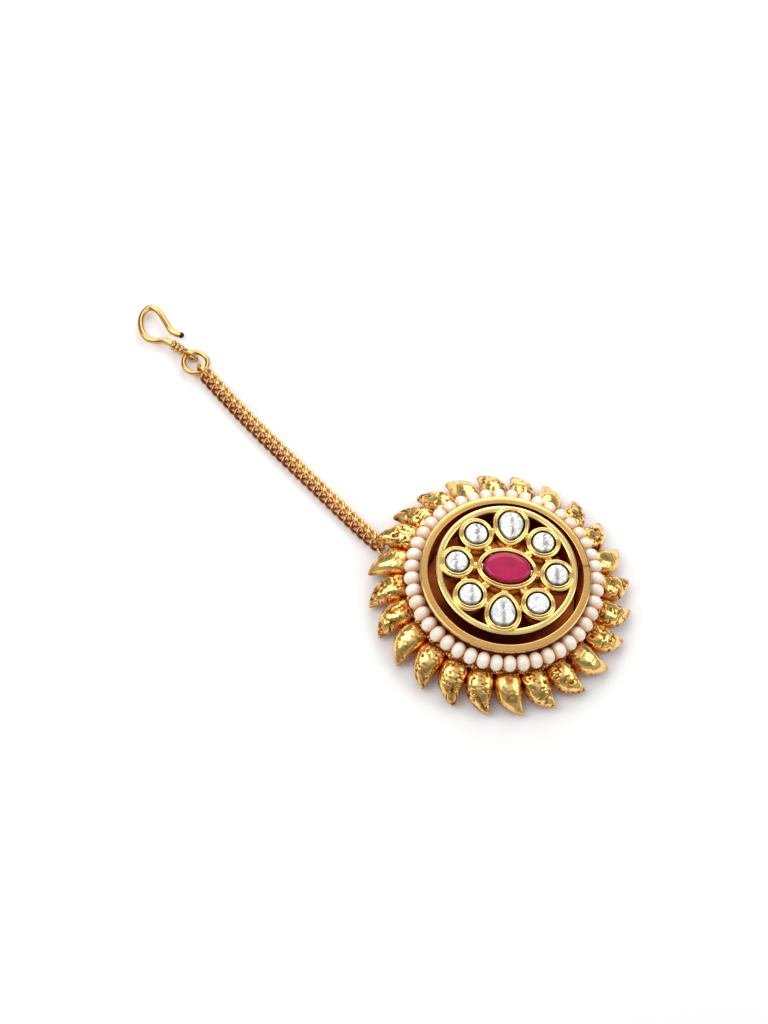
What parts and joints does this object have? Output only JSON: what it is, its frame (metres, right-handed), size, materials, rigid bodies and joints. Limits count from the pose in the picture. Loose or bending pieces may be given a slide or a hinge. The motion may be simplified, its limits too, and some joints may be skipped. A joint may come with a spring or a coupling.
{
  "type": "maang tikka",
  "caption": "Domed sun-shaped hair pendant with a ruby-red oval, clear stones, a pearl ring and mango leaves, on a short chain with a jump ring and hair hook.",
  "frame": {"origin": "centre of the flat round back of the pendant's cup, on the plane it lies on", "axes": "+Z out of the pendant's face, +Y from the pendant towards the hair hook, +X to the right when the face is seen with the hook above"},
  "size_m": [0.0466, 0.1066, 0.0124],
  "materials": {
    "antique_gold": "cast, crinkled and polished, darker in the hollows",
    "polished_gold": "polished",
    "chain_gold": "polished, warm orange in the gaps",
    "cream_pearl": "pearl lustre",
    "clear_stone": "clear with a silvery foil back",
    "ruby_glass": "ruby red, polished"
  },
  "bodies": {
    "root": {"sun_setting": "antique_gold", "floral_frame": "polished_gold", "pearl_string": "cream_pearl", "round_stone_1": "clear_stone", "pear_stone_1": "clear_stone", "round_stone_2": "clear_stone", "round_stone_3": "clear_stone", "round_stone_4": "clear_stone", "pear_stone_2": "clear_stone", "round_stone_5": "clear_stone", "round_stone_6": "clear_stone", "ruby_stone": "ruby_glass", "chain": "chain_gold", "jump_ring": "polished_gold", "hair_hook": "polished_gold"}
  },
  "joints": []
}
